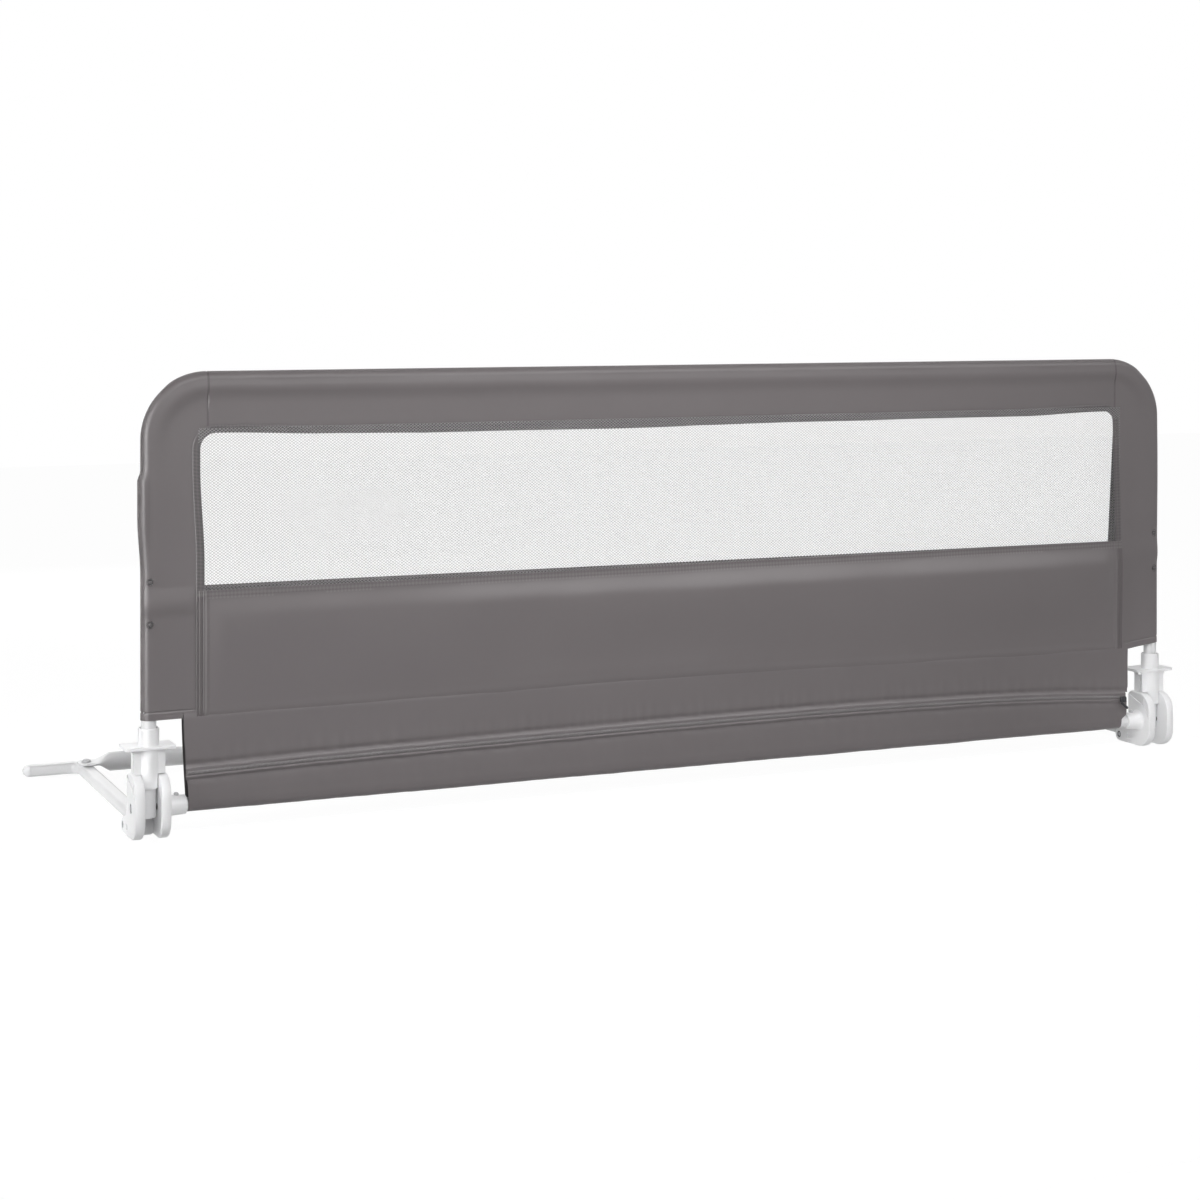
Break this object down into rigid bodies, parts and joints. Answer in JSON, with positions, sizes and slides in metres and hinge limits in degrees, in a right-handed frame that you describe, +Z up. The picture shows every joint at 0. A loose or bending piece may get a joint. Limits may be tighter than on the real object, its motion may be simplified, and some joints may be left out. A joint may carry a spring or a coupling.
{
  "type": "folding bed guard rail",
  "caption": "Fabric-covered tubular bed guard with a mesh window that folds down on locking hinges, held by arms and a crossbar under the mattress.",
  "frame": {"origin": "on the ground plane, at the middle of the object's length and depth", "axes": "+X along the guard, +Y from the guard towards the middle of the bed, +Z up"},
  "size_m": [1.6078, 0.4314, 0.5545],
  "materials": {
    "grey_paint": "light grey powder coat, satin",
    "white_plastic": "moulded, fine satin",
    "zinc_steel": "zinc plated",
    "dark_steel": "dark plated",
    "spring_steel": "drawn wire",
    "grey_cloth": "plain woven polyester",
    "net_cloth": "knitted mesh",
    "zipper_cloth": "coil zipper tape"
  },
  "bodies": {
    "base": {"arm_left": "grey_paint", "arm_right": "grey_paint", "foot_cap_left": "grey_paint", "foot_cap_right": "grey_paint", "arm_plug_left": "white_plastic", "arm_plug_right": "white_plastic", "crossbar_left": "grey_paint", "crossbar_right": "grey_paint", "crossbar_joiner": "zinc_steel", "crossbar_screw_left": "dark_steel", "crossbar_screw_right": "dark_steel", "cheek_outer_left": "white_plastic", "cheek_inner_left": "white_plastic", "cheek_inner_right": "white_plastic", "cheek_outer_right": "white_plastic", "pivot_pin_left": "dark_steel", "pivot_pin_right": "dark_steel", "arm_rivet_left": "dark_steel", "arm_rivet_right": "dark_steel", "low_tube_left": "grey_paint", "low_tube_right": "grey_paint", "low_joiner": "zinc_steel"},
    "low_button_left": {"low_button_left": "zinc_steel"},
    "low_button_right": {"low_button_right": "zinc_steel"},
    "guard": {"post_left": "grey_paint", "post_right": "grey_paint", "post_joiner_left": "zinc_steel", "post_joiner_right": "zinc_steel", "corner_tube_left": "grey_paint", "corner_tube_right": "grey_paint", "top_tube": "grey_paint", "top_joiner_left": "zinc_steel", "top_joiner_right": "zinc_steel", "spring_ring_left": "zinc_steel", "spring_ring_right": "zinc_steel", "release_spring_left": "spring_steel", "release_spring_right": "spring_steel", "cover_top": "grey_cloth", "cover_side_left": "grey_cloth", "cover_side_right": "grey_cloth", "cover_front": "grey_cloth", "cover_back": "grey_cloth", "cover_flap": "grey_cloth", "window_net": "net_cloth", "zipper": "zipper_cloth"},
    "post_button_low_left": {"post_button_low_left": "zinc_steel"},
    "post_button_low_right": {"post_button_low_right": "zinc_steel"},
    "post_button_high_left": {"post_button_high_left": "zinc_steel"},
    "post_button_high_right": {"post_button_high_right": "zinc_steel"},
    "slider_left": {"slider_left": "white_plastic"},
    "slider_right": {"slider_right": "white_plastic"},
    "zipper_slider": {"zipper_slider": "dark_steel"}
  },
  "joints": [
    {"name": "guard_fold", "type": "hinge", "parent": "base", "child": "guard", "pos_m": [0, -0.18875, 0.037], "axis": [1, 0, 0], "range_deg": [0, 180]},
    {"name": "release_left", "type": "slide", "parent": "guard", "child": "slider_left", "axis": [0, 0, 1], "range_m": [0, 0.008], "stiffness_N_per_m": 400, "springref_m": -0.01, "deforming": ["release_spring_left"]},
    {"name": "release_right", "type": "slide", "parent": "guard", "child": "slider_right", "axis": [0, 0, 1], "range_m": [0, 0.008], "stiffness_N_per_m": 400, "springref_m": -0.01, "deforming": ["release_spring_right"]},
    {"name": "post_button_low_left", "type": "slide", "parent": "guard", "child": "post_button_low_left", "axis": [0, 1, 0], "range_m": [0, 0.0045], "stiffness_N_per_m": 1500, "springref_m": -0.001},
    {"name": "post_button_low_right", "type": "slide", "parent": "guard", "child": "post_button_low_right", "axis": [0, 1, 0], "range_m": [0, 0.0045], "stiffness_N_per_m": 1500, "springref_m": -0.001},
    {"name": "post_button_high_left", "type": "slide", "parent": "guard", "child": "post_button_high_left", "axis": [0, 1, 0], "range_m": [0, 0.0045], "stiffness_N_per_m": 1500, "springref_m": -0.001},
    {"name": "post_button_high_right", "type": "slide", "parent": "guard", "child": "post_button_high_right", "axis": [0, 1, 0], "range_m": [0, 0.0045], "stiffness_N_per_m": 1500, "springref_m": -0.001},
    {"name": "low_button_left", "type": "slide", "parent": "base", "child": "low_button_left", "axis": [0, 0, -1], "range_m": [0, 0.0075], "stiffness_N_per_m": 1500, "springref_m": -0.001},
    {"name": "low_button_right", "type": "slide", "parent": "base", "child": "low_button_right", "axis": [0, 0, -1], "range_m": [0, 0.0075], "stiffness_N_per_m": 1500, "springref_m": -0.001},
    {"name": "zipper_run", "type": "slide", "parent": "guard", "child": "zipper_slider", "axis": [-1, 0, 0.0012], "range_m": [0, 1.34]}
  ]
}
